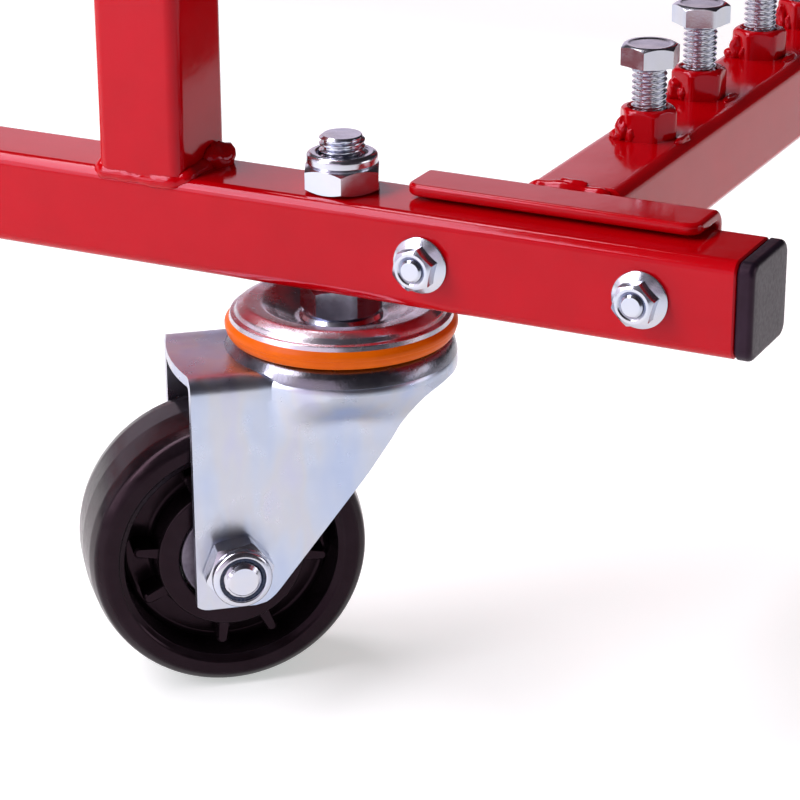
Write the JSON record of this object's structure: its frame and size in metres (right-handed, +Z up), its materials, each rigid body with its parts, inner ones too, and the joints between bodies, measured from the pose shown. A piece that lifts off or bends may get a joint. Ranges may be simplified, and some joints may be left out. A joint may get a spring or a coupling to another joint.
{
  "type": "engine stand",
  "caption": "Rolling engine cradle stand: square-tube side frames with pad-topped posts, bolt-on cross members and swivel casters.",
  "frame": {"origin": "middle of the stand's footprint, on the floor under the wheels", "axes": "+X along the rails towards the cross member that carries the parked bolts, +Y to the left side, +Z up"},
  "size_m": [0.8728, 0.746, 0.468],
  "materials": {
    "red_paint": "glossy red powder coat",
    "zinc": "bright blue-white zinc plating",
    "cap_plastic": "satin black moulded plastic",
    "wheel_plastic": "glossy black polyolefin",
    "seal": "smooth orange plastic",
    "bush_steel": "dull grey steel"
  },
  "bodies": {
    "frame": {"side_frame_right": "red_paint", "side_frame_left": "red_paint", "cross_member_front": "red_paint", "cross_member_rear": "red_paint", "parked_bolt_1": "zinc", "parked_bolt_2": "zinc", "parked_bolt_3": "zinc", "parked_bolt_4": "zinc", "end_cap_front_right": "cap_plastic", "frame_bolt_front_right_inner": "zinc", "frame_nut_front_right_inner": "zinc", "frame_bolt_front_right_outer": "zinc", "frame_nut_front_right_outer": "zinc", "end_cap_rear_left": "cap_plastic", "frame_bolt_rear_left_inner": "zinc", "frame_nut_rear_left_inner": "zinc", "frame_bolt_rear_left_outer": "zinc", "frame_nut_rear_left_outer": "zinc", "end_cap_rear_right": "cap_plastic", "frame_bolt_rear_right_inner": "zinc", "frame_nut_rear_right_inner": "zinc", "frame_bolt_rear_right_outer": "zinc", "frame_nut_rear_right_outer": "zinc", "end_cap_front_left": "cap_plastic", "frame_bolt_front_left_inner": "zinc", "frame_nut_front_left_inner": "zinc", "frame_bolt_front_left_outer": "zinc", "frame_nut_front_left_outer": "zinc", "caster_stem_front_right": "zinc", "caster_seal_front_right": "seal", "stem_nut_front_right": "zinc", "caster_stem_rear_left": "zinc", "caster_seal_rear_left": "seal", "stem_nut_rear_left": "zinc", "caster_stem_rear_right": "zinc", "caster_seal_rear_right": "seal", "stem_nut_rear_right": "zinc", "caster_stem_front_left": "zinc", "caster_seal_front_left": "seal", "stem_nut_front_left": "zinc"},
    "fork_front_right": {"caster_fork_front_right": "zinc", "axle_bolt_front_right": "zinc", "axle_nut_front_right": "zinc"},
    "wheel_front_right": {"wheel_front_right": "wheel_plastic", "wheel_bush_front_right": "bush_steel"},
    "fork_rear_left": {"caster_fork_rear_left": "zinc", "axle_bolt_rear_left": "zinc", "axle_nut_rear_left": "zinc"},
    "wheel_rear_left": {"wheel_rear_left": "wheel_plastic", "wheel_bush_rear_left": "bush_steel"},
    "fork_rear_right": {"caster_fork_rear_right": "zinc", "axle_bolt_rear_right": "zinc", "axle_nut_rear_right": "zinc"},
    "wheel_rear_right": {"wheel_rear_right": "wheel_plastic", "wheel_bush_rear_right": "bush_steel"},
    "fork_front_left": {"caster_fork_front_left": "zinc", "axle_bolt_front_left": "zinc", "axle_nut_front_left": "zinc"},
    "wheel_front_left": {"wheel_front_left": "wheel_plastic", "wheel_bush_front_left": "bush_steel"}
  },
  "joints": [
    {"name": "swivel_front_right", "type": "hinge", "parent": "frame", "child": "fork_front_right", "pos_m": [0.3185, -0.3175, 0.1066], "axis": [0, 0, 1], "continuous": true},
    {"name": "roll_front_right", "type": "hinge", "parent": "fork_front_right", "child": "wheel_front_right", "pos_m": [0.29291, -0.33928, 0.0375], "axis": [0.6481, -0.7615, 0], "continuous": true},
    {"name": "swivel_rear_left", "type": "hinge", "parent": "frame", "child": "fork_rear_left", "pos_m": [-0.3185, 0.3175, 0.1066], "axis": [0, 0, 1], "continuous": true},
    {"name": "roll_rear_left", "type": "hinge", "parent": "fork_rear_left", "child": "wheel_rear_left", "pos_m": [-0.29291, 0.33928, 0.0375], "axis": [-0.6481, 0.7615, 0], "continuous": true},
    {"name": "swivel_rear_right", "type": "hinge", "parent": "frame", "child": "fork_rear_right", "pos_m": [-0.3185, -0.3175, 0.1066], "axis": [0, 0, 1], "continuous": true},
    {"name": "roll_rear_right", "type": "hinge", "parent": "fork_rear_right", "child": "wheel_rear_right", "pos_m": [-0.34943, -0.33063, 0.0375], "axis": [0.3907, -0.9205, 0], "continuous": true},
    {"name": "swivel_front_left", "type": "hinge", "parent": "frame", "child": "fork_front_left", "pos_m": [0.3185, 0.3175, 0.1066], "axis": [0, 0, 1], "continuous": true},
    {"name": "roll_front_left", "type": "hinge", "parent": "fork_front_left", "child": "wheel_front_left", "pos_m": [0.34943, 0.33063, 0.0375], "axis": [-0.3907, 0.9205, 0], "continuous": true}
  ]
}
